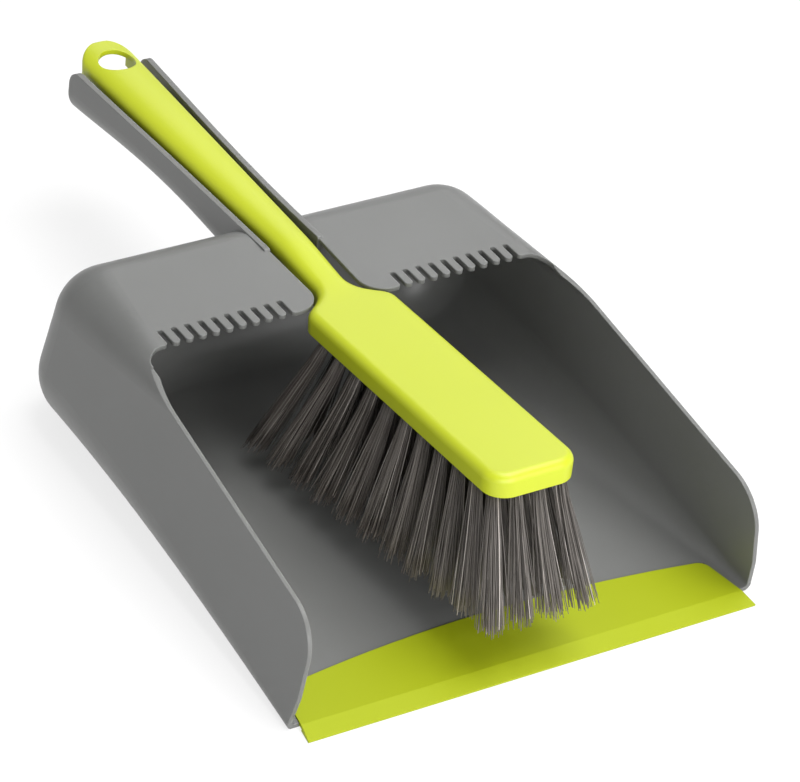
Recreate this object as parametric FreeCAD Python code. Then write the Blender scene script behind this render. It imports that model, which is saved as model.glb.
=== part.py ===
import FreeCAD, Part
import math
import os

# A dust pan with a clip-in hand brush. Millimetres, +Z up, +X across, +Y from the lip to the handle.
# Shapes are drawn with y = 0 at the lip's front edge and moved at the end, so that the origin is the
# point of the flat base that lies midway between the lip's edge and the foot of the back wall.

# ---- sizes that most others follow ----
HOOD_TOP = 82.3              # base to the top of the hood
BASE_HALF = 119.8            # half width at the base
SHEET = 2.0                  # thickness of walls and hood
FLOOR = 2.2                  # thickness of the floor
BLOCK_FRONT_Y = 20.5         # y of the brush block's front end
BLOCK_LENGTH = 151.5
BLOCK_HALF = 22.6
BLOCK_THICK = 11.0
GRIP_LENGTH = 184.5          # length of the grip behind the neck

# ---- brush, drawn flat with s along it from the block's front end and t up from its underside ----
BRUSH_PITCH = 4.0            # degrees that the front of the block is tipped up
BLOCK_FRONT_Z = HOOD_TOP + 0.7
BLOCK_CORNER = 11.0
BLOCK_EDGE_ROUND = 3.5       # rounding of the block's upper edge
NECK_HALF = 8.0
NECK_TIP_HALF = 5.0          # half width where the neck ends inside the grip
NECK_S = BLOCK_LENGTH + 12   # where the shoulders have run into the neck
NECK_END = NECK_S + 26       # where the grip takes over from the neck
SHOULDER_OUTER = 9.0
SHOULDER_INNER = 16.0
GRIP_START = BLOCK_LENGTH - 3  # where the grip begins inside the block
GRIP_FREE = NECK_END + 9     # where it has risen clear of the block
GRIP_STEPS = 6               # sections through the stretch where it rises
BRUSH_LENGTH = GRIP_FREE + GRIP_LENGTH
# grip inside the block, where it leaves the neck and at its end: half width, crown height, middle height
GRIP_SUNK = (6.5, 4.0, 6.0)
GRIP_NECK = (8.5, 5.6, 11.6)
GRIP_TAIL = (14.6, 6.8, 22.0)
GRIP_BELOW = 1.35            # depth of the grip below its middle, as a share of its crown height
ROUNDNESS = 0.58             # shape of its cross-section; 0.55 is an ellipse
CORE_WALL = 3.5              # wall left round the core under the grip's end
CORE_LENGTH = 40.0
HANG_RADIUS = GRIP_TAIL[0] - 5.3
HANG_FROM_END = HANG_RADIUS + 9.2  # hang hole's centre to the brush's end
HANG_AXIS_TILT = 0.05        # lean of the hole's axis towards the block, per mm of height

# ---- tufts ----
ROWS = 11
COLUMNS = 4
ROW_FIRST = 9.0              # s of the first row
ROW_LAST = BLOCK_LENGTH - 10
ROW_PITCH = (ROW_LAST - ROW_FIRST) / (ROWS - 1)
TUFT_EDGE = 6.4              # outer columns' centres to the block's sides
COLUMN_PITCH = 2 * (BLOCK_HALF - TUFT_EDGE) / (COLUMNS - 1)
TUFT_RADIUS = 2.9
TUFT_TIP_RADIUS = 4.6
TIP_HEIGHT = 23.0            # height of the first row's tips above the base
TUFT_LENGTH = BLOCK_FRONT_Z - TIP_HEIGHT
HOLE_GAP = 0.1               # radial clearance of a tuft in its hole
HOLE_DEPTH = BLOCK_THICK - 4
SPREAD_FRONT = 0.45          # sideways spread of the tips, as a share of their place across the block
SPREAD_BACK = 1.45
LEAN_FRONT = -18.0           # lengthways lean of the first and last rows' tips
LEAN_BACK = 16.0
STAPLE_THICK = 0.5
STAPLE_HEIGHT = 2.0
STAPLE_BITE = 1.0            # how far a staple reaches into the block on each side

# ---- tray and hood ----
WALL_LEAN = 0.115            # how far the side walls lean in, per mm of height
WALL_FRONT = 8.0             # y of the side walls' front edges
WALL_TOE = 3.0               # how far those edges fall back at the floor
WALL_TOE_HEIGHT = 18.0
HOOD_EDGE = BLOCK_FRONT_Y + BLOCK_LENGTH + 2.5  # y of the hood's front edge, just behind the block
BACK_FOOT = HOOD_EDGE + 88.5   # y of the back wall at the base
BACK_LEAN = 0.13             # how far the back wall leans forward, per mm of height
FOOT_ROUND = 28.0            # outer radius between floor and side walls, near the back
FOOT_ROUND_FRONT = 3.0       # the same radius at the front
TAPER = 0.010                # how far each side draws in towards the back, per mm of length
SHOULDER_ROUND = 24.0        # outer radius between hood and side walls, near the back
SHOULDER_ROUND_FRONT = 5.0   # least that it comes down to at the front
SHOULDER_GROWTH = 0.16       # how fast it grows in between, per mm of length
ROUNDS_FULL_Y = HOOD_EDGE + 60  # y where both radii are full
TRAY_STEPS = 9               # sections through the stretch where they grow
BASE_TRIM = 0.3              # drawn below the base and cut off flat
BACK_ROUND = 22.0            # outer radius all round the back wall

# ---- open top ----
HOOD_INNER_HALF = BASE_HALF - WALL_LEAN * HOOD_TOP - 6.3  # where the hood's edge turns into the rims
HOOD_CORNER = 10.0           # plan radius of that turn
RIM_FRONT = HOOD_TOP - 25.3  # height of the side walls near the front
RIM_FRONT_Y = 30.0
RIM_BACK = HOOD_TOP - 2.8    # height of the side walls where they reach the hood
NOSE_ROUND = 21.0            # side-view radius at the front top corner of the walls

# ---- comb in the hood's edge ----
SLOTS = 10                   # slots on each side
SLOT_WIDTH = 2.9
SLOT_DEPTH = 11.0
SLOT_FIRST = 29.6            # x of the slot nearest the middle
SLOT_LAST = HOOD_INNER_HALF - HOOD_CORNER - 4.2
SLOT_PITCH = (SLOT_LAST - SLOT_FIRST) / (SLOTS - 1)

# ---- notch for the brush neck ----
NOTCH_HALF_FRONT = NECK_HALF + 4
NOTCH_HALF_BACK = NECK_HALF + 5.2
NOTCH_CORNER = BLOCK_HALF - 10.6  # keeps the block's shoulders clear of the hood

# ---- handle channel ----
CHANNEL_WALL = 2.8
CHANNEL_START = BACK_FOOT - 42  # y of the rims' front ends
CHANNEL_END = BLOCK_FRONT_Y + BRUSH_LENGTH - 9.5
# along the channel: share of its length, gap beside the grip, rims above the hood's top, outer depth
CHANNEL_STATIONS = ((0.0, 3.95, 0.9, 28.0), (0.24, 2.9, -0.6, 25.0), (0.52, 2.6, -1.5, 21.8),
                    (0.78, 3.1, -1.9, 22.8), (1.0, 3.4, -2.1, 25.5))
CHANNEL_ROUND = 13.0         # outer radius of the channel's lower corners
CHANNEL_END_ROUND = 8.0      # side-view radius of its rear corners
GRIP_CLEARANCE = 0.6         # between the grip's underside and the rests in the channel
RESTS = (BACK_FOOT - 6, CHANNEL_END - 32)  # y of the two cross ribs that the grip lies on
REST_THICK = 2.0

# ---- soft lip ----
LIP_HALF_FRONT = BASE_HALF - 4.8
LIP_HALF_BACK = BASE_HALF - 10.3
LIP_SIDE_DEPTH = 33.0        # y of the lip's rear corners
LIP_BULGE = 9.0              # how much further back its middle reaches
LIP_TIP = 0.8                # thickness at the front edge
LIP_PROUD = 0.5              # how far it stands above the floor
LIP_OVERLAP = 1.2            # depth of the recess that it sits in
LIP_BEVEL = 9.0              # y where the lip reaches its full height
LIP_CORNER = 6.0
LIP_GAP = 0.15               # clearance round its edge

DATUM_Y = BACK_FOOT / 2
BIG = 400.0


def vec(x, y, z):
    return FreeCAD.Vector(x, y, z)


def rounded_wire(corners):
    """Closed wire through corner points, each given as (point, radius) and rounded by its radius."""
    edges = []
    count = len(corners)
    ends = []
    for index, (corner, radius) in enumerate(corners):
        before = corners[index - 1][0]
        after = corners[(index + 1) % count][0]
        to_before = (before - corner).normalize()
        to_after = (after - corner).normalize()
        if radius == 0:
            ends.append((corner, None, corner))
            continue
        half = to_before.getAngle(to_after) / 2
        reach = radius / math.tan(half)
        middle = (to_before + to_after).normalize() * (radius / math.sin(half) - radius)
        ends.append((corner + to_before * reach, corner + middle, corner + to_after * reach))
    for index, (start, middle, stop) in enumerate(ends):
        if middle is not None:
            edges.append(Part.Arc(start, middle, stop).toShape())
        following = ends[(index + 1) % count][0]
        if stop.distanceToPoint(following) > 1e-6:
            edges.append(Part.makeLine(stop, following))
    return Part.Wire(edges)


def prism(corners, direction):
    """Solid made by pushing a rounded outline along a direction."""
    return Part.Face(rounded_wire(corners)).extrude(direction)


def mirrored(points):
    """Corner list made symmetric about x = 0 from its right half."""
    left = [(vec(-p.x, p.y, p.z), r) for p, r in reversed(points)]
    return points + left


def foot_round(y):
    """Outer radius between floor and side wall, which eases from its front to its back value."""
    share = min(1, max(0, (y - WALL_FRONT) / (ROUNDS_FULL_Y - WALL_FRONT)))
    return FOOT_ROUND_FRONT + (FOOT_ROUND - FOOT_ROUND_FRONT) * math.sin(share * math.pi / 2)


def shoulder_round(y):
    """Outer radius between side wall and hood, which grows steadily towards the back."""
    return max(SHOULDER_ROUND_FRONT, SHOULDER_ROUND - SHOULDER_GROWTH * max(0, ROUNDS_FULL_Y - y))


def tray_section(y, inset, floor):
    """Cross-section of the tray across x: floor, leaning walls and hood."""
    top = HOOD_TOP - inset
    low_half = BASE_HALF - TAPER * y - inset - WALL_LEAN * floor
    high_half = BASE_HALF - TAPER * y - inset - WALL_LEAN * top
    right = [(vec(low_half, y, floor), foot_round(y) - inset),
             (vec(high_half, y, top), shoulder_round(y) - inset)]
    return rounded_wire(mirrored(right))


def tray_blank(inset, floor, front):
    """Closed block in the tray's outside shape, drawn in by an inset on its sides, back and top."""
    full = tray_section(ROUNDS_FULL_Y, inset, floor)
    beyond = tray_section(BACK_FOOT + 50, inset, floor)
    back = Part.makeLoft([full, beyond], True, True)
    foot = BACK_FOOT - inset
    behind = [(vec(-BIG, foot + BACK_LEAN * BIG, -BIG), 0), (vec(-BIG, foot - BACK_LEAN * BIG, BIG), 0),
              (vec(-BIG, foot + 2 * BIG, BIG), 0), (vec(-BIG, foot + 2 * BIG, -BIG), 0)]
    back = back.cut(prism(behind, vec(2 * BIG, 0, 0)))
    ends = [e for e in back.Edges if e.CenterOfMass.y > foot - BACK_LEAN * HOOD_TOP - 1]
    back = back.makeFillet(BACK_ROUND - inset, ends)
    sections = []
    for step in range(TRAY_STEPS + 1):
        sections.append(tray_section(front + (ROUNDS_FULL_Y - front) * step / TRAY_STEPS, inset, floor))
    return back.fuse(Part.makeLoft(sections, True, False))


def rim_cutter():
    """Everything above the side walls' rims, seen from the side."""
    outline = [(vec(-BIG, -BIG, 0), 0), (vec(-BIG, WALL_FRONT + WALL_TOE, 0), 0),
               (vec(-BIG, WALL_FRONT, WALL_TOE_HEIGHT), WALL_TOE_HEIGHT),
               (vec(-BIG, WALL_FRONT, RIM_FRONT - (RIM_FRONT_Y - WALL_FRONT) * rim_slope()), NOSE_ROUND),
               (vec(-BIG, HOOD_EDGE - HOOD_CORNER, RIM_BACK), 0),
               (vec(-BIG, HOOD_EDGE - HOOD_CORNER, BIG), 0), (vec(-BIG, -BIG, BIG), 0)]
    return prism(outline, vec(2 * BIG, 0, 0))


def rim_slope():
    return (RIM_BACK - RIM_FRONT) / (HOOD_EDGE - HOOD_CORNER - RIM_FRONT_Y)


def hood_cutter():
    """Opening in front of the hood, with its rounded corners and the notch for the brush neck."""
    right = [(vec(HOOD_INNER_HALF, -BIG, RIM_BACK - SHEET), 0),
             (vec(HOOD_INNER_HALF, HOOD_EDGE, RIM_BACK - SHEET), HOOD_CORNER),
             (vec(NOTCH_HALF_FRONT, HOOD_EDGE, RIM_BACK - SHEET), NOTCH_CORNER),
             (vec(NOTCH_HALF_BACK, CHANNEL_START + 2, RIM_BACK - SHEET), 0)]
    return prism(mirrored(right), vec(0, 0, BIG))


def comb_cutter():
    """Slots of the comb, each with a round closed end and rounded tooth tips at its mouth."""
    half = SLOT_WIDTH / 2
    side = SLOT_PITCH / 2
    tip = (SLOT_PITCH - SLOT_WIDTH) / 2
    z = HOOD_TOP - 3 * SHEET
    right = [(vec(side, HOOD_EDGE - 1, z), 0), (vec(side, HOOD_EDGE, z), 0),
             (vec(half, HOOD_EDGE, z), tip - 0.05), (vec(half, HOOD_EDGE + SLOT_DEPTH, z), half - 0.05)]
    slot = prism(mirrored(right), vec(0, 0, 6 * SHEET))
    slots = []
    for index in range(SLOTS):
        x = SLOT_FIRST + index * SLOT_PITCH
        slots.append(slot.translated(vec(x, 0, 0)))
        slots.append(slot.translated(vec(-x, 0, 0)))
    return Part.makeCompound(slots)


def channel_section(y, half, top, low, corner):
    right = [(vec(half, y, low), corner), (vec(half, y, top), 0)]
    left = [(vec(-half, y, top), 0), (vec(-half, y, low), corner)]
    return rounded_wire(right + left)


def channel_solid(inset, reach):
    """Channel's outside for an inset and reach of 0, or the room inside it, open above and at its ends."""
    wires = []
    for share, gap, above_hood, depth in CHANNEL_STATIONS:
        y = CHANNEL_START + (CHANNEL_END - CHANNEL_START) * share
        half = grip_sizes(y - BLOCK_FRONT_Y)[0] + gap + CHANNEL_WALL - inset
        rim = HOOD_TOP + above_hood
        overshoot = {0: -reach, 1: reach}.get(share, 0)
        wires.append(channel_section(y + overshoot, half, rim + reach, rim - depth + inset,
                                     CHANNEL_ROUND - inset))
    return Part.makeLoft(wires, True, False)


def make_rests():
    """Two cross ribs low in the channel that the brush's grip lies on."""
    ribs = []
    for y in RESTS:
        half, crown, middle = grip_sizes(y - BLOCK_FRONT_Y)
        fall = (y - BLOCK_FRONT_Y) * math.sin(math.radians(BRUSH_PITCH))
        under = BLOCK_FRONT_Z - fall + middle - crown * GRIP_BELOW - GRIP_CLEARANCE
        ribs.append(Part.makeBox(2 * half, REST_THICK, BIG, vec(-half, y - REST_THICK / 2, under - BIG)))
    return Part.makeCompound(ribs).common(channel_solid(CHANNEL_WALL / 2, 0))


def make_pan(lip_pocket):
    shell = tray_blank(0, -BASE_TRIM, WALL_FRONT)
    below = Part.makeBox(2 * BIG, 2 * BIG, BIG, vec(-BIG, -BIG, -BIG))
    room = tray_blank(SHEET, FLOOR, WALL_FRONT - 5)
    pan = shell.cut(below).cut(room)
    pan = pan.cut(rim_cutter()).cut(hood_cutter()).cut(comb_cutter())
    rim_front = HOOD_TOP + CHANNEL_STATIONS[0][2]
    rim_back = HOOD_TOP + CHANNEL_STATIONS[-1][2]
    side_view = [(vec(-BIG, CHANNEL_START, rim_front), 1.5), (vec(-BIG, CHANNEL_START, -BIG), 0),
                 (vec(-BIG, CHANNEL_END, -BIG), 0), (vec(-BIG, CHANNEL_END, rim_back), CHANNEL_END_ROUND)]
    channel = channel_solid(0, 0).common(prism(side_view, vec(2 * BIG, 0, 0)))
    pan = pan.fuse(channel).cut(channel_solid(CHANNEL_WALL, 5)).fuse(make_rests())
    return pan.cut(lip_pocket)


def lip_outline(z, gap, front):
    """Plan of the lip: straight front, tapering sides and a rear edge that bows back."""
    side_slope = (LIP_HALF_FRONT - LIP_HALF_BACK) / LIP_SIDE_DEPTH
    back = LIP_SIDE_DEPTH + gap
    front_half = LIP_HALF_FRONT + gap - side_slope * front
    back_half = LIP_HALF_BACK + gap - side_slope * gap
    arc = Part.Arc(vec(back_half, back, z), vec(0, back + LIP_BULGE, z), vec(-back_half, back, z)).toShape()
    sides = Part.makePolygon([vec(-back_half, back, z), vec(-front_half, front, z),
                              vec(front_half, front, z), vec(back_half, back, z)])
    return Part.Face(Part.Wire([arc] + sides.Edges))


def make_lip():
    body = lip_outline(0, 0, 0).extrude(vec(0, 0, FLOOR + LIP_PROUD))
    under = FLOOR - LIP_OVERLAP
    rear = LIP_SIDE_DEPTH + LIP_BULGE + 5
    top = FLOOR + LIP_PROUD
    profile = [(vec(-BIG, 0, 0), 0), (vec(-BIG, 0, LIP_TIP), 0), (vec(-BIG, LIP_BEVEL, top), 0),
               (vec(-BIG, rear, top), 0), (vec(-BIG, rear, under), 0), (vec(-BIG, WALL_FRONT, under), 0),
               (vec(-BIG, WALL_FRONT, 0), 0)]
    lip = body.common(prism(profile, vec(2 * BIG, 0, 0)))
    corners = [e for e in lip.Edges if is_rear_corner(e)]
    return lip.makeFillet(LIP_CORNER, corners)


def is_rear_corner(edge):
    upright = abs(edge.tangentAt(edge.FirstParameter).z) > 0.99
    return upright and edge.CenterOfMass.y > LIP_SIDE_DEPTH / 2


def make_lip_pocket():
    pocket = lip_outline(FLOOR - LIP_OVERLAP, LIP_GAP, WALL_FRONT - 1)
    return pocket.extrude(vec(0, 0, LIP_OVERLAP + 1))


def place_brush(shape):
    """Tips a shape drawn in the brush's own frame and puts it in its place in the pan."""
    moved = shape.copy()
    moved.rotate(vec(0, 0, 0), vec(1, 0, 0), -BRUSH_PITCH)
    moved.translate(vec(0, BLOCK_FRONT_Y, BLOCK_FRONT_Z))
    return moved


def block_outline():
    """Plan of the block, its shoulders and the neck."""
    right = [(vec(BLOCK_HALF, 0, 0), BLOCK_CORNER), (vec(BLOCK_HALF, BLOCK_LENGTH, 0), SHOULDER_OUTER),
             (vec(NECK_HALF, NECK_S, 0), SHOULDER_INNER), (vec(NECK_TIP_HALF, NECK_END, 0), 0)]
    return Part.Face(rounded_wire(mirrored(right)))


def grip_sizes(s):
    """Half width, crown height and middle height of the grip at a distance s along the brush."""
    if s < GRIP_FREE:
        share = (s - GRIP_START) / (GRIP_FREE - GRIP_START)
        share = share * share * (3 - 2 * share)
        return [a + (b - a) * share for a, b in zip(GRIP_SUNK, GRIP_NECK)]
    share = (s - GRIP_FREE) / (BRUSH_LENGTH - GRIP_FREE)
    return [a + (b - a) * share for a, b in zip(GRIP_NECK, GRIP_TAIL)]


def grip_section(s):
    """Egg-shaped cross-section made of four curves: a crown above the middle and a fuller half below."""
    half, crown, middle = grip_sizes(s)
    down = -crown * GRIP_BELOW
    edges = []
    for side, height in ((1, crown), (1, down), (-1, down), (-1, crown)):
        at_side = vec(side * half, s, middle)
        at_middle = vec(0, s, middle + height)
        edge = Part.BezierCurve()
        edge.setPoles([at_middle, at_middle + vec(side * half * ROUNDNESS, 0, 0),
                       at_side + vec(0, 0, height * ROUNDNESS), at_side])
        edges.append(edge.toShape())
    return Part.Wire(Part.__sortEdges__(edges))


def grip_solid():
    """Grip from its start inside the block to just past its end."""
    stations = [GRIP_START + (GRIP_FREE - GRIP_START) * i / GRIP_STEPS for i in range(GRIP_STEPS + 1)]
    return Part.makeLoft([grip_section(s) for s in stations + [BRUSH_LENGTH + 1]], True, True)


def grip_end_plan():
    """Upright prism with the plan of the grip's round end."""
    half = GRIP_TAIL[0] + 0.5
    right = [(vec(half, 0, -BIG / 2), 0), (vec(half, BRUSH_LENGTH, -BIG / 2), 0.98 * half)]
    return prism(mirrored(right), vec(0, 0, BIG))


def core_section(s):
    """Cross-section of the core: the grip's crown less a wall, open below."""
    half, crown, middle = grip_sizes(s)
    half -= CORE_WALL
    crown -= CORE_WALL
    curves = []
    for side in (1, -1):
        curve = Part.BezierCurve()
        curve.setPoles([vec(0, s, middle + crown), vec(side * half * ROUNDNESS, s, middle + crown),
                        vec(side * half, s, middle + crown * ROUNDNESS), vec(side * half, s, middle)])
        curves.append(curve.toShape())
    corners = [vec(half, s, middle), vec(half, s, middle - BIG / 4), vec(-half, s, middle - BIG / 4),
               vec(-half, s, middle)]
    return Part.Wire(Part.__sortEdges__(curves + Part.makePolygon(corners).Edges))


def make_core():
    """Room under the grip's end, open below and behind."""
    return Part.makeLoft([core_section(s) for s in (BRUSH_LENGTH - CORE_LENGTH, BRUSH_LENGTH + 1)], True, True)


def make_brush_body(hole_tools):
    block = block_outline().extrude(vec(0, 0, BLOCK_THICK))
    upper = [e for e in block.Edges if e.CenterOfMass.z > BLOCK_THICK - 0.1]
    rim = [e for e in upper if e.CenterOfMass.y < NECK_END - 1]
    block = block.makeFillet(BLOCK_EDGE_ROUND, rim)
    grip = grip_solid().common(grip_end_plan())
    body = block.fuse(grip)
    hole = Part.makeCylinder(HANG_RADIUS, 2 * BIG, hang_centre() - hang_axis() * BIG, hang_axis())
    return body.cut(make_core()).cut(hole).cut(hole_tools)


def hang_axis():
    return vec(0, -HANG_AXIS_TILT, 1).normalize()


def hang_centre():
    return vec(0, BRUSH_LENGTH - HANG_FROM_END, GRIP_TAIL[2])


def tuft_frames():
    """Name, root and tip offset of every tuft, row by row from the front."""
    frames = []
    for row in range(ROWS):
        share = row / (ROWS - 1)
        spread = SPREAD_FRONT + (SPREAD_BACK - SPREAD_FRONT) * share
        lean = LEAN_FRONT + (LEAN_BACK - LEAN_FRONT) * share
        for column in range(COLUMNS):
            x = (column - (COLUMNS - 1) / 2) * COLUMN_PITCH
            name = "tuft_row%02d_%s" % (row + 1, "abcd"[column])
            root = vec(x, ROW_FIRST + row * ROW_PITCH, 0)
            frames.append((name, root, vec(spread * x, lean, -TUFT_LENGTH)))
    return frames


def make_staple(root):
    """Flat wire across the bottom of a tuft's hole, pressed into the block on both sides."""
    half = TUFT_RADIUS + HOLE_GAP + STAPLE_BITE
    corner = root + vec(-half, -STAPLE_THICK / 2, HOLE_DEPTH - STAPLE_HEIGHT)
    return Part.makeBox(2 * half, STAPLE_THICK, STAPLE_HEIGHT, corner)


def make_tuft(root, tip_offset):
    """Tuft of bristles: a plug in the block's hole and a bundle that widens towards its tips."""
    plug = Part.makeCylinder(TUFT_RADIUS, HOLE_DEPTH, root)
    bottom = Part.Wire(Part.makeCircle(TUFT_RADIUS, root))
    top = Part.Wire(Part.makeCircle(TUFT_TIP_RADIUS, root + tip_offset))
    bundle = Part.makeLoft([bottom, top], True, True)
    return plug.fuse(bundle)


def write(name, shape):
    shape.translate(vec(0, -DATUM_Y, 0))
    shape.exportStep("parts/%s.step" % name)


def main():
    os.makedirs("parts", exist_ok=True)
    write("lip_strip", make_lip())
    write("pan", make_pan(make_lip_pocket()))
    frames = tuft_frames()
    staples = [make_staple(root) for name, root, tip in frames]
    holes = [Part.makeCylinder(TUFT_RADIUS + HOLE_GAP, HOLE_DEPTH + 1, root + vec(0, 0, -1))
             for name, root, tip in frames]
    body = make_brush_body(Part.makeCompound(holes)).cut(Part.makeCompound(staples))
    write("brush_body", place_brush(body))
    write("anchor_staples", place_brush(Part.makeCompound(staples)))
    for (name, root, tip), staple in zip(frames, staples):
        write(name, place_brush(make_tuft(root, tip).cut(staple)))


if __name__ == "__main__":
    main()
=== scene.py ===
"""Looks of a dust pan with a clip-in hand brush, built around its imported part. Metres, +Z up."""

import logging
import math
import random
from dataclasses import dataclass, field
from enum import Enum
from typing import Callable

import bmesh
import bpy
from mathutils import Matrix, Vector


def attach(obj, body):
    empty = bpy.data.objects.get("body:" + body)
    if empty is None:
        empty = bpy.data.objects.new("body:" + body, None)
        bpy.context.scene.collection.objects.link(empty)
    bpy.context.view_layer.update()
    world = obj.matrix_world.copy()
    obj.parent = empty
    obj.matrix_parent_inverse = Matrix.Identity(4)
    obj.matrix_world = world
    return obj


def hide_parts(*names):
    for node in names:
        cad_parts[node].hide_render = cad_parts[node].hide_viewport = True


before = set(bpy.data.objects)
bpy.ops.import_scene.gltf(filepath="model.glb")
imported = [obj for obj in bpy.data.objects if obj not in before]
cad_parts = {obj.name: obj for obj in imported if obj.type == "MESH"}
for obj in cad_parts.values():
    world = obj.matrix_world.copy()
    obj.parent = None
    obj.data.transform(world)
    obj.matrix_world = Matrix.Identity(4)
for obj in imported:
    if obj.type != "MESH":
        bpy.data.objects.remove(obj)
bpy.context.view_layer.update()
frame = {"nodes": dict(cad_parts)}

LOG = logging.getLogger("dust_pan_and_brush")
MM = 0.001
Colour = tuple[float, float, float]


class Surface(Enum):
    """Finish that a shader's fine bump stands for."""

    SATIN = "satin"
    SOFT = "soft"


class Graph:
    """Node tree of one material, with short calls for the nodes that the finishes share."""

    def __init__(self, name: str) -> None:
        """Makes an empty material with a Principled shader.

        Args:
            name: the material's name.
        """
        self.material = bpy.data.materials.new(name)
        self.material.use_nodes = True
        self.tree = self.material.node_tree
        self.tree.nodes.clear()
        self.shader = self.add("ShaderNodeBsdfPrincipled")
        output = self.add("ShaderNodeOutputMaterial")
        self.link(self.shader.outputs["BSDF"], output.inputs["Surface"])

    def add(self, kind: str, **settings: object) -> bpy.types.Node:
        """Adds a node.

        Args:
            kind: the node's type name.
            settings: properties to set on it.

        Returns:
            The new node.
        """
        node = self.tree.nodes.new(kind)
        for key, value in settings.items():
            setattr(node, key, value)
        return node

    def link(self, source: bpy.types.NodeSocket, target: bpy.types.NodeSocket) -> None:
        """Joins an output to an input."""
        self.tree.links.new(source, target)

    def object_position(self) -> bpy.types.NodeSocket:
        """Returns the piece's own Object coordinates."""
        return self.add("ShaderNodeTexCoord").outputs["Object"]

    def noise(self, scale: float, detail: float, stretch: Colour = (1, 1, 1)) -> bpy.types.NodeSocket:
        """Adds noise on Object coordinates.

        Args:
            scale: cycles per metre.
            detail: octaves.
            stretch: scale along each axis.

        Returns:
            The noise's factor.
        """
        mapping = self.add("ShaderNodeMapping")
        mapping.inputs["Scale"].default_value = stretch
        self.link(self.object_position(), mapping.inputs["Vector"])
        node = self.add("ShaderNodeTexNoise")
        node.inputs["Scale"].default_value = scale
        node.inputs["Detail"].default_value = detail
        self.link(mapping.outputs["Vector"], node.inputs["Vector"])
        return node.outputs["Fac"]

    def attribute(self, name: str) -> bpy.types.Node:
        """Returns a node that reads a mesh attribute."""
        return self.add("ShaderNodeAttribute", attribute_name=name)

    def ramp(self, factor: bpy.types.NodeSocket, stops: list[tuple[float, Colour]]) -> bpy.types.NodeSocket:
        """Adds a colour ramp.

        Args:
            factor: what it reads.
            stops: place and colour of each stop.

        Returns:
            The ramp's colour.
        """
        node = self.add("ShaderNodeValToRGB")
        elements = node.color_ramp.elements
        while len(elements) < len(stops):
            elements.new(0.5)
        for element, (place, colour) in zip(elements, stops):
            element.position = place
            element.color = (*colour, 1)
        self.link(factor, node.inputs["Fac"])
        return node.outputs["Color"]

    def range(self, value: bpy.types.NodeSocket, low: float, high: float) -> bpy.types.NodeSocket:
        """Maps a factor of 0.3 to 0.7 onto low to high."""
        node = self.add("ShaderNodeMapRange")
        node.inputs["From Min"].default_value = 0.3
        node.inputs["From Max"].default_value = 0.7
        node.inputs["To Min"].default_value = low
        node.inputs["To Max"].default_value = high
        self.link(value, node.inputs["Value"])
        return node.outputs["Result"]

    def rounded_edges(self, radius: float) -> bpy.types.NodeSocket:
        """Returns a normal that softens every edge by a radius in metres."""
        node = self.add("ShaderNodeBevel", samples=6)
        node.inputs["Radius"].default_value = radius
        return node.outputs["Normal"]

    def bump(self, height: bpy.types.NodeSocket, depth: float, normal: bpy.types.NodeSocket) -> None:
        """Gives the shader a bump.

        Args:
            height: the bump's height, 0 to 1.
            depth: its depth in metres.
            normal: the normal that it starts from.
        """
        node = self.add("ShaderNodeBump")
        node.inputs["Strength"].default_value = 1.0
        node.inputs["Distance"].default_value = depth
        self.link(height, node.inputs["Height"])
        self.link(normal, node.inputs["Normal"])
        self.link(node.outputs["Normal"], self.shader.inputs["Normal"])

    def settings(self, **values: object) -> None:
        """Sets the shader's own sockets, named with underscores for spaces."""
        for key, value in values.items():
            self.shader.inputs[key.replace("_", " ")].default_value = value


@dataclass(frozen=True)
class MouldedPlastic:
    """Injection-moulded plastic: slight shade drift, a fine satin grain and softened edges."""

    name: str
    dark: Colour
    light: Colour
    roughness: tuple[float, float]
    surface: Surface = Surface.SATIN
    edge: float = 0.4 * MM
    glow: float = 0.0
    glow_radius: Colour = (1, 1, 1)
    specular: float = 0.5

    def make(self) -> bpy.types.Material:
        """Returns the material."""
        graph = Graph(self.name)
        drift = graph.noise(9, 3)
        colour = graph.ramp(drift, [(0.3, self.dark), (0.7, self.light)])
        graph.link(colour, graph.shader.inputs["Base Color"])
        wipe = graph.noise(22, 5, (1, 0.25, 1))
        graph.link(graph.range(wipe, *self.roughness), graph.shader.inputs["Roughness"])
        grain = graph.noise(1500 if self.surface is Surface.SATIN else 900, 2)
        depth = 0.006 * MM if self.surface is Surface.SATIN else 0.02 * MM
        graph.bump(grain, depth, graph.rounded_edges(self.edge))
        graph.settings(IOR=1.5, Specular_IOR_Level=self.specular)
        if self.glow:
            graph.settings(Subsurface_Weight=self.glow, Subsurface_Radius=self.glow_radius,
                           Subsurface_Scale=3.5 * MM)
        return graph.material


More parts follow.
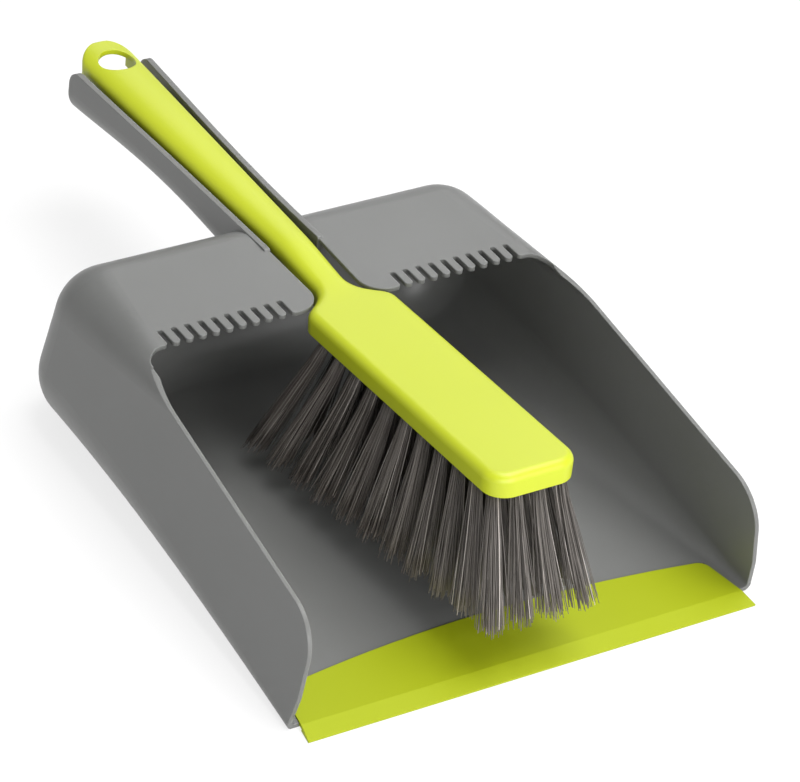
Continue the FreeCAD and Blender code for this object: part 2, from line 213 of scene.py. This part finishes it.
@dataclass(frozen=True)
class BristleFibre:
    """Crimp-free nylon: each strand has its own shade, paler and browner at the cut tip, with painted shade
    darkening it towards the root under the block.
    """

    name: str = "grey_nylon_bristle"
    roughness: float = 0.42

    def make(self) -> bpy.types.Material:
        """Returns the material."""
        graph = Graph(self.name)
        split = graph.add("ShaderNodeSeparateColor")
        graph.link(graph.attribute("strand").outputs["Color"], split.inputs["Color"])
        shade = graph.ramp(split.outputs["Red"], [(0.0, (0.047, 0.042, 0.037)), (0.55, (0.108, 0.098, 0.090)),
                                                  (0.85, (0.20, 0.185, 0.172)), (1.0, (0.48, 0.45, 0.43))])
        # painted shade: this ramp darkens each strand towards its root, where the block and the other strands
        # shade it, and makes the cut tip paler
        tip = graph.ramp(split.outputs["Green"], [(0.0, (0.55, 0.52, 0.48)), (0.35, (0.9, 0.88, 0.86)),
                                                  (0.8, (1, 0.98, 0.95)), (1.0, (1.25, 1.18, 1.12))])
        mix = graph.add("ShaderNodeMix", data_type="RGBA", blend_type="MULTIPLY")
        mix.inputs["Factor"].default_value = 1
        graph.link(shade, mix.inputs["A"])
        graph.link(tip, mix.inputs["B"])
        graph.link(mix.outputs["Result"], graph.shader.inputs["Base Color"])
        streak = graph.noise(2500, 2, (1, 1, 0.05))
        graph.link(graph.range(streak, self.roughness - 0.06, self.roughness + 0.08),
                   graph.shader.inputs["Roughness"])
        graph.settings(Specular_IOR_Level=0.45)
        return graph.material


@dataclass(frozen=True)
class DrawnWire:
    """Drawn steel wire of the staples."""

    name: str = "drawn_steel_wire"

    def make(self) -> bpy.types.Material:
        """Returns the material."""
        graph = Graph(self.name)
        lines = graph.noise(3000, 2, (0.05, 1, 1))
        graph.link(graph.ramp(lines, [(0.3, (0.42, 0.43, 0.44)), (0.7, (0.62, 0.62, 0.63))]),
                   graph.shader.inputs["Base Color"])
        graph.link(graph.range(lines, 0.28, 0.42), graph.shader.inputs["Roughness"])
        graph.settings(Metallic=1.0)
        return graph.material


@dataclass(frozen=True)
class StudioFloor:
    """Matt white studio floor."""

    name: str = "studio_floor"

    def make(self) -> bpy.types.Material:
        """Returns the material."""
        graph = Graph(self.name)
        graph.link(graph.ramp(graph.noise(2, 2), [(0.3, (0.22, 0.22, 0.22)), (0.7, (0.23, 0.23, 0.23))]),
                   graph.shader.inputs["Base Color"])
        graph.settings(Roughness=0.9, Specular_IOR_Level=0.1, Emission_Color=(1, 1, 1, 1),
                       Emission_Strength=0.74)
        return graph.material


def finished(mesh_name: str, bm: bmesh.types.BMesh, material: bpy.types.Material,
             crease: float | None = 0.6) -> bpy.types.Object:
    """Turns a bmesh into a shown object.

    Args:
        mesh_name: name of the piece.
        bm: its shape, freed here.
        material: its finish.
        crease: angle in radians over which an edge is shaded sharp, or None for none.

    Returns:
        The new object, at the origin.
    """
    mesh = bpy.data.meshes.new(mesh_name)
    bm.to_mesh(mesh)
    bm.free()
    for polygon in mesh.polygons:
        polygon.use_smooth = True
    if crease is not None:
        mesh.set_sharp_from_angle(angle=crease)
    mesh.materials.append(material)
    piece = bpy.data.objects.new(mesh_name, mesh)
    bpy.context.scene.collection.objects.link(piece)
    return piece


def smooth_step(value: float, start: float, end: float) -> float:
    """Returns 0 before start, 1 after end and an eased value between."""
    share = min(1.0, max(0.0, (value - start) / (end - start)))
    return share * share * (3 - 2 * share)


@dataclass
class BrushFrame:
    """The brush's own frame: s along it from the block's front end, t up from its underside."""

    pitch: float = math.radians(4)
    front_y: float = -111.0
    front_z: float = 83.0

    def matrix(self) -> Matrix:
        """Returns the matrix from the brush's millimetres to the row's metres."""
        place = Matrix.Translation((0, self.front_y * MM, self.front_z * MM))
        return place @ Matrix.Rotation(-self.pitch, 4, "X") @ Matrix.Scale(MM, 4)


@dataclass
class BrushBody:
    """Block, neck and grip as one smooth moulding with a cored, pierced end."""

    frame: BrushFrame
    block_half: float = 22.6
    block_length: float = 151.5
    block_thick: float = 11.0
    block_crown: float = 0.35
    corner: float = 11.0
    edge: float = 4.2
    shoulder_end: float = 163.5
    neck_half: float = 8.0
    grip_start: float = 198.5
    length: float = 383.0
    grip_half: tuple[float, float] = (8.5, 14.6)
    grip_crown: tuple[float, float] = (5.6, 6.8)
    grip_middle: tuple[float, float] = (11.6, 22.0)
    below: float = 1.35
    blend: tuple[float, float] = (149.5, 203.5)
    block_power: float = 16.0
    grip_power: float = 2.15
    grip_low_power: float = 2.2
    end_round: float = 0.985
    end_edge: float = 1.4
    wall: float = 2.4
    core_length: float = 40.0
    core_depth: float = 20.0
    hole_radius: float = 9.0
    hole_from_end: float = 18.5
    neck_span: tuple[float, float] = (140.0, 204.0)
    round_steps: int = 22
    block_steps: int = 14
    neck_steps: int = 52
    grip_steps: int = 51
    bend_steps: int = 12
    core_steps: int = 12
    core_sides: int = 24
    hole_sides: int = 72
    top_steps: int = 44
    low_steps: int = 20
    name: str = "brush_body_moulding"
    outline: list[tuple[float, float]] = field(default_factory=list)

    def __post_init__(self) -> None:
        """Works out the plan's half width once."""
        corners = [((self.block_half, self.corner), 0.0), ((self.block_half, self.block_length), 9.0),
                   ((self.neck_half, self.shoulder_end), 16.0),
                   ((self.grip_half[0], self.grip_start), 60.0), ((self.grip_half[1], self.length + 5), 0.0)]
        points: list[tuple[float, float]] = []
        for index, ((half, s), radius) in enumerate(corners):
            here = Vector((half, s))
            if not radius:
                points.append((s, half))
                continue
            to_last = (Vector(corners[index - 1][0]) - here).normalized()
            to_next = (Vector(corners[index + 1][0]) - here).normalized()
            turn = math.pi - to_last.angle(to_next)
            reach = radius * math.tan(turn / 2)
            start, end = here + to_last * reach, here + to_next * reach
            for step in range(self.bend_steps + 1):
                share = step / self.bend_steps
                bent = start.lerp(here, share).lerp(here.lerp(end, share), share)
                points.append((bent.y, bent.x))
        self.outline = points

    def full_half(self, s: float) -> float:
        """Returns the half width at s, before the rounded ends."""
        last = self.outline[0]
        for point in self.outline[1:]:
            if s <= point[0]:
                share = (s - last[0]) / max(point[0] - last[0], 1e-9)
                return last[1] + (point[1] - last[1]) * max(share, 0)
            last = point
        return last[1]

    def cut_half(self, s: float) -> float:
        """Returns the half width at s with the plan's rounded ends."""
        half = self.full_half(s)
        if s < self.corner:
            return half - self.corner + math.sqrt(self.corner ** 2 - (self.corner - s) ** 2)
        round_end = self.grip_half[1] * self.end_round
        past = s - (self.length - round_end)
        if past > 0:
            return min(half, math.sqrt(max(round_end ** 2 - past ** 2, 0.04)))
        return half

    def inside(self, x: float, s: float) -> float:
        """Returns how far a point of the plan lies inside its outline."""
        x = abs(x)
        slope = self.full_half(s + 0.5) - self.full_half(s - 0.5)
        depth = (self.full_half(s) - x) / math.hypot(1, slope)
        straight = self.block_half - self.corner
        if s < self.corner:
            depth = s
            if x > straight:
                depth = self.corner - math.hypot(x - straight, self.corner - s)
        return max(depth, 0.0)

    def grip_sizes(self, s: float) -> tuple[float, float]:
        """Returns the grip's crown height and the height of its middle at s."""
        share = (s - self.grip_start) / (self.length - self.grip_start)
        crown = self.grip_crown[0] + (self.grip_crown[1] - self.grip_crown[0]) * share
        middle = self.grip_middle[0] + (self.grip_middle[1] - self.grip_middle[0]) * share
        return crown, middle

    def top(self, x: float, s: float) -> float:
        """Returns the height of the upper surface over a point of the plan."""
        full = self.full_half(s)
        across = min(abs(x) / full, 1.0)
        depth = min(self.inside(x, s), self.edge)
        fall = self.edge - math.sqrt(self.edge ** 2 - (self.edge - depth) ** 2)
        block = self.block_thick - fall - self.block_crown * across ** 2
        crown, middle = self.grip_sizes(s)
        grip = middle + crown * (1 - across ** self.grip_power) ** (1 / self.grip_power)
        share = smooth_step(s, *self.blend)
        return block + (grip - block) * share

    def low(self, x: float, s: float) -> float:
        """Returns the height of the underside below a point of the plan."""
        full = self.full_half(s)
        across = min(abs(x) / full, 1.0)
        crown, middle = self.grip_sizes(s)
        share = smooth_step(s, self.shoulder_end - 4, self.blend[1] + 6)
        side = self.block_thick - self.edge - self.block_crown
        side += (middle - side) * smooth_step(s, *self.blend)
        bottom = share * (middle - crown * self.below)
        roundness = smooth_step(s, self.shoulder_end - 8, self.grip_start)
        power = self.block_power + (self.grip_low_power - self.block_power) * roundness
        return side - (side - bottom) * (1 - across ** power) ** (1 / power)

    def stations(self) -> list[float]:
        """Returns the places along the brush of the rings of the mesh."""
        quarter = math.pi / 2 / self.round_steps
        neck_start, neck_end = self.neck_span
        round_end = self.grip_half[1]
        straight_end = self.length - round_end
        places = [self.corner * (1 - math.cos(quarter * i)) for i in range(self.round_steps + 1)]
        for start, end, steps in ((self.corner, neck_start, self.block_steps),
                                  (neck_start, neck_end, self.neck_steps),
                                  (neck_end, straight_end, self.grip_steps)):
            places += [start + (end - start) * i / steps for i in range(1, steps + 1)]
        for i in range(1, self.round_steps + 1):
            places.append(straight_end + (round_end - 0.01) * math.sin(quarter * i))
        return places

    def ring(self, s: float) -> list[Vector]:
        """Returns one ring: over the top from the right side to the left, then back underneath."""
        half = self.cut_half(s)
        points = []
        for step in range(self.top_steps + 1):
            x = half * math.cos(math.pi * step / self.top_steps)
            z = self.top(x, s)
            if s > self.length - self.grip_half[1]:
                near = max(min(half - abs(x), self.length - s, self.end_edge), 0)
                z -= self.end_edge - math.sqrt(max(self.end_edge ** 2 - (self.end_edge - near) ** 2, 0))
            points.append(Vector((x, s, z)))
        for step in range(1, self.low_steps):
            x = -half * math.cos(math.pi * step / self.low_steps)
            points.append(Vector((x * 0.9999, s, self.low(x, s))))
        return points

    def sweep(self, stations: list[float], ring: Callable[[float], list[Vector]]) -> bmesh.types.BMesh:
        """Extrudes a ring through stations.

        Args:
            stations: places along the brush.
            ring: gives the ring's points at a place.

        Returns:
            The closed shape, in the brush's millimetres.
        """
        bm = bmesh.new()
        first = ring(stations[0])
        made = bmesh.ops.create_circle(bm, segments=len(first), radius=1, cap_ends=True)
        loop = list(made["verts"])
        for vert, point in zip(loop, first):
            vert.co = point
        edges = [bm.edges.get((loop[i - 1], loop[i])) for i in range(len(loop))]
        for s in stations[1:]:
            grown = bmesh.ops.extrude_edge_only(bm, edges=edges)["geom"]
            after = {}
            for face in (g for g in grown if isinstance(g, bmesh.types.BMFace)):
                for side in face.edges:
                    a, b = side.verts
                    if (a in loop) != (b in loop):
                        after[a if a in loop else b] = b if a in loop else a
            loop = [after[v] for v in loop]
            for vert, point in zip(loop, ring(s)):
                vert.co = point
            edges = [bm.edges.get((loop[i - 1], loop[i])) for i in range(len(loop))]
        bmesh.ops.contextual_create(bm, geom=edges)
        bmesh.ops.recalc_face_normals(bm, faces=bm.faces)
        return bm

    def core_ring(self, s: float) -> list[Vector]:
        """Returns a ring of the room inside the grip's end, open below and behind."""
        half = self.full_half(s) - self.wall
        points = []
        for step in range(self.core_sides + 1):
            x = half * math.cos(math.pi * step / self.core_sides)
            points.append(Vector((x, s, self.top(x * 1.04, s) - self.wall)))
        points.append(Vector((-half * 0.96, s, -self.core_depth)))
        points.append(Vector((half * 0.96, s, -self.core_depth)))
        return points

    def hole_tool(self) -> bmesh.types.BMesh:
        """Returns the cylinder that pierces the end."""
        bm = bmesh.new()
        place = Matrix.Translation((0, self.length - self.hole_from_end, self.grip_middle[1]))
        bmesh.ops.create_cone(bm, cap_ends=True, segments=self.hole_sides, radius1=self.hole_radius,
                              radius2=self.hole_radius, depth=60, matrix=place)
        return bm

    def cut(self, bm: bmesh.types.BMesh, tools: list[bmesh.types.BMesh]) -> bmesh.types.BMesh:
        """Takes the tools out of a closed shape.

        Args:
            bm: the shape.
            tools: closed shapes to take out of it.

        Returns:
            What is left.
        """
        made = []
        for index, shape in enumerate([bm, *tools]):
            mesh = bpy.data.meshes.new(f"cutting_{index}")
            shape.to_mesh(mesh)
            shape.free()
            made.append(bpy.data.objects.new(mesh.name, mesh))
            bpy.context.scene.collection.objects.link(made[-1])
        for tool in made[1:]:
            modifier = made[0].modifiers.new("cut", "BOOLEAN")
            modifier.operation, modifier.solver, modifier.object = "DIFFERENCE", "EXACT", tool
        bpy.context.view_layer.update()
        result = bmesh.new()
        result.from_object(made[0], bpy.context.evaluated_depsgraph_get())
        for thing in made:
            mesh = thing.data
            bpy.data.objects.remove(thing)
            bpy.data.meshes.remove(mesh)
        return result

    def build(self, material: bpy.types.Material) -> bpy.types.Object:
        """Builds the moulding.

        Args:
            material: its finish.

        Returns:
            The piece, riding on the brush.
        """
        body = self.sweep(self.stations(), self.ring)
        start = self.length - self.core_length
        reach = self.core_length + 4
        core_places = [start + reach * i / self.core_steps for i in range(self.core_steps + 1)]
        core = self.sweep(core_places, self.core_ring)
        result = self.cut(body, [core, self.hole_tool()])
        bmesh.ops.remove_doubles(result, verts=result.verts, dist=1e-4)
        bmesh.ops.transform(result, matrix=self.frame.matrix(), verts=result.verts)
        piece = finished(self.name, result, material, crease=0.55)
        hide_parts("brush_body")
        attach(piece, "brush")
        LOG.info("%s: %d faces", piece.name, len(piece.data.polygons))
        return piece


@dataclass
class Tufts:
    """The block's tufts, each a bundle of separate strands."""

    frame: BrushFrame
    rows: int = 11
    columns: int = 4
    row_first: float = 9.0
    row_pitch: float = 13.25
    column_pitch: float = 10.8
    root_radius: float = 2.55
    tip_radius: float = 6.2
    length: float = 60.0
    spread: tuple[float, float] = (0.45, 1.45)
    lean: tuple[float, float] = (-18.0, 16.0)
    strands: int = 100
    strand_radius: float = 0.26
    sides: int = 5
    joints: int = 5
    sunk: float = 1.5
    taper: float = 0.25
    flare: float = 1.06
    bow: float = 0.5
    spiral_turn: float = 2.39996
    turn_jitter: float = 0.3
    reach_jitter: tuple[float, float] = (0.85, 1.1)
    scatter: tuple[float, float] = (0.8, 0.9)
    stray_share: float = 0.03
    stray_scatter: float = 3.2
    even_share: float = 0.8
    even_trim: tuple[float, float] = (0.94, 1.0)
    uneven_trim: tuple[float, float] = (0.88, 0.96)
    shade: tuple[float, float] = (0.52, 0.2)
    pale_share: float = 0.06
    pale_lift: float = 0.3
    seed: int = 11

    def strand_template(self) -> bpy.types.Mesh:
        """Returns one straight strand from z = 0 to z = 1 with a radius of 1."""
        bm = bmesh.new()
        bmesh.ops.create_cone(bm, cap_ends=True, segments=self.sides, radius1=1, radius2=0.8, depth=1,
                              matrix=Matrix.Translation((0, 0, 0.5)))
        for joint in range(1, self.joints):
            plane = Vector((0, 0, joint / self.joints))
            geometry = [*bm.verts, *bm.edges, *bm.faces]
            bmesh.ops.bisect_plane(bm, geom=geometry, plane_co=plane, plane_no=(0, 0, 1))
        mesh = bpy.data.meshes.new("strand_template")
        bm.to_mesh(mesh)
        bm.free()
        return mesh

    def tuft(self, root: Vector, tip: Vector, template: bpy.types.Mesh,
             draw: random.Random) -> bmesh.types.BMesh:
        """Bundles bent copies of the strand.

        Args:
            root: middle of the tuft's hole, in the brush's millimetres.
            tip: from the root to the middle of the tips.
            template: the straight strand.
            draw: source of the strands' differences.

        Returns:
            The tuft.
        """
        bm = bmesh.new()
        layer = bm.verts.layers.float_color.new("strand")
        for number in range(self.strands):
            angle = number * self.spiral_turn + draw.uniform(-self.turn_jitter, self.turn_jitter)
            reach = math.sqrt((number + 0.5) / self.strands)
            around = Vector((math.cos(angle), math.sin(angle), 0))
            start = root + around * reach * self.root_radius
            splay = self.tip_radius * reach * draw.uniform(*self.reach_jitter) - self.root_radius * reach
            scatter = Vector((draw.gauss(0, self.scatter[0]), draw.gauss(0, self.scatter[1]), 0))
            if draw.random() < self.stray_share:
                scatter *= self.stray_scatter
            even = draw.random() < self.even_share
            trim = draw.uniform(*(self.even_trim if even else self.uneven_trim))
            bow = Vector((draw.gauss(0, self.bow), draw.gauss(0, self.bow), 0))
            shade = draw.gauss(*self.shade) + (self.pale_lift if draw.random() < self.pale_share else 0)
            shade = min(1.0, max(0.0, shade))
            known = len(bm.verts)
            bm.from_mesh(template)
            bm.verts.ensure_lookup_table()
            for vert in bm.verts[known:]:
                along = vert.co.z
                flare = along ** self.flare
                middle = start + Vector((tip.x * flare, tip.y * flare, tip.z * along * trim))
                middle += (around * splay + scatter) * flare + bow * math.sin(math.pi * along)
                thin = self.strand_radius * (1 - self.taper * along)
                vert.co = middle + Vector((vert.co.x * thin, vert.co.y * thin, 0))
                if along < 0.01:
                    vert.co.z += self.sunk
                # the green channel, how far along the strand a point lies, drives the painted shade towards
                # the root in the bristle finish
                vert[layer] = (shade, along, draw.random(), 1)
        bmesh.ops.recalc_face_normals(bm, faces=bm.faces)
        return bm

    def build(self, material: bpy.types.Material) -> None:
        """Builds every tuft in its hole.

        Args:
            material: the strands' finish.
        """
        draw = random.Random(self.seed)
        template = self.strand_template()
        for row in range(self.rows):
            share = row / (self.rows - 1)
            spread = self.spread[0] + (self.spread[1] - self.spread[0]) * share
            lean = self.lean[0] + (self.lean[1] - self.lean[0]) * share
            for column in range(self.columns):
                x = (column - (self.columns - 1) / 2) * self.column_pitch
                node = "tuft_row%02d_%s" % (row + 1, "abcd"[column])
                root = Vector((x, self.row_first + row * self.row_pitch, 0))
                bm = self.tuft(root, Vector((spread * x, lean, -self.length)), template, draw)
                bmesh.ops.transform(bm, matrix=self.frame.matrix(), verts=bm.verts)
                piece = finished(node.replace("tuft", "bristles"), bm, material, crease=None)
                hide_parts(node)
                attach(piece, "brush")
            LOG.info("bristles of row %d", row + 1)
        bpy.data.meshes.remove(template)


@dataclass
class CadPieces:
    """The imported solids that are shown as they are, with their finishes."""

    finishes: dict[str, bpy.types.Material]

    def dress(self) -> None:
        """Gives each solid its finish."""
        for node, material in self.finishes.items():
            shown = frame["nodes"][node]
            shown.data.materials.clear()
            shown.data.materials.append(material)
            LOG.info("%s: %d faces", node, len(shown.data.polygons))


@dataclass(frozen=True)
class Softbox:
    """One softbox: where it hangs, its width and height, its power in watts and the point it faces."""

    name: str
    place: Colour
    size: tuple[float, float]
    power: float
    aim: Colour = (0, 0.05, 0.03)

    def hang(self) -> None:
        """Hangs it in the scene."""
        data = bpy.data.lights.new(self.name, "AREA")
        data.shape, data.size, data.size_y, data.energy = "RECTANGLE", *self.size, self.power
        light = bpy.data.objects.new(self.name, data)
        light.location = self.place
        light.rotation_mode = "QUATERNION"
        light.rotation_quaternion = (Vector(self.aim) - Vector(self.place)).to_track_quat("-Z", "Y")
        bpy.context.scene.collection.objects.link(light)


@dataclass
class Studio:
    """Floor, lights, backdrop colour and camera."""

    floor_half: float = 6.0
    sky: float = 0.4
    softboxes: tuple[Softbox, ...] = (
        Softbox("key_softbox", (0.42, -0.1, 1.75), (1.3, 1.3), 35),
        Softbox("back_softbox", (1.05, 1.4, 1.25), (1.5, 1.3), 9),
        Softbox("front_softbox", (0.3, -1.8, 0.9), (1.9, 1.0), 16),
        Softbox("low_softbox", (-0.3, -1.7, 0.5), (2.4, 0.9), 30, (0.02, 0.1, 0.04)))
    azimuth: float = math.radians(-36.4600713)
    elevation: float = math.radians(34.8769083)
    roll: float = math.radians(8.0)
    place: Colour = (-0.959338, -1.303320, 1.189341)
    lens: float = 202.497
    sensor: float = 36.0

    def camera(self) -> None:
        """Makes the camera that the picture is taken with."""
        a, e, r = self.azimuth, self.elevation, self.roll
        back = Vector((math.sin(a) * math.cos(e), -math.cos(a) * math.cos(e), math.sin(e)))
        right = Vector((math.cos(a), math.sin(a), 0))
        up = back.cross(right)
        tilted_right = right * math.cos(r) + up * math.sin(r)
        tilted_up = up * math.cos(r) - right * math.sin(r)
        data = bpy.data.cameras.new("camera")
        data.lens, data.sensor_width, data.sensor_fit = self.lens, self.sensor, "HORIZONTAL"
        data.clip_start, data.clip_end = 0.05, 50
        camera = bpy.data.objects.new("camera", data)
        turn = Matrix((tilted_right, tilted_up, back)).transposed().to_4x4()
        camera.matrix_world = Matrix.Translation(self.place) @ turn
        bpy.context.scene.collection.objects.link(camera)
        bpy.context.scene.camera = camera

    def build(self) -> None:
        """Builds the studio."""
        bm = bmesh.new()
        bmesh.ops.create_grid(bm, x_segments=2, y_segments=2, size=self.floor_half)
        floor = finished("studio_floor", bm, StudioFloor().make())
        world = bpy.data.worlds.new("studio")
        world.use_nodes = True
        background = world.node_tree.nodes["Background"]
        background.inputs["Color"].default_value = (1, 1, 1, 1)
        background.inputs["Strength"].default_value = self.sky
        bpy.context.scene.world = world
        bpy.context.scene.view_settings.view_transform = "Standard"
        for softbox in self.softboxes:
            softbox.hang()
        self.camera()
        LOG.info("studio and camera")


def main() -> None:
    """Builds the studio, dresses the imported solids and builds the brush's finer pieces."""
    logging.basicConfig(level=logging.INFO, format="%(message)s")
    Studio().build()
    grey = MouldedPlastic("grey_moulded_plastic", (0.130, 0.132, 0.128), (0.142, 0.144, 0.140), (0.36, 0.44),
                          edge=0.8 * MM, glow=0.5, glow_radius=(1, 1, 0.95), specular=0.4)
    lime = MouldedPlastic("lime_moulded_plastic", (0.40, 0.455, 0.010), (0.425, 0.48, 0.013), (0.36, 0.44),
                          edge=0.5 * MM, glow=0.12, glow_radius=(1, 1, 0.3))
    soft = MouldedPlastic("lime_soft_lip", (0.285, 0.335, 0.004), (0.305, 0.355, 0.006), (0.50, 0.60),
                          surface=Surface.SOFT, glow=0.1, glow_radius=(1, 1, 0.3), specular=0.2)
    CadPieces({"pan": grey.make(), "lip_strip": soft.make(), "anchor_staples": DrawnWire().make()}).dress()
    brush_frame = BrushFrame()
    BrushBody(brush_frame).build(lime.make())
    Tufts(brush_frame).build(BristleFibre().make())


if __name__ == "__main__":
    main()
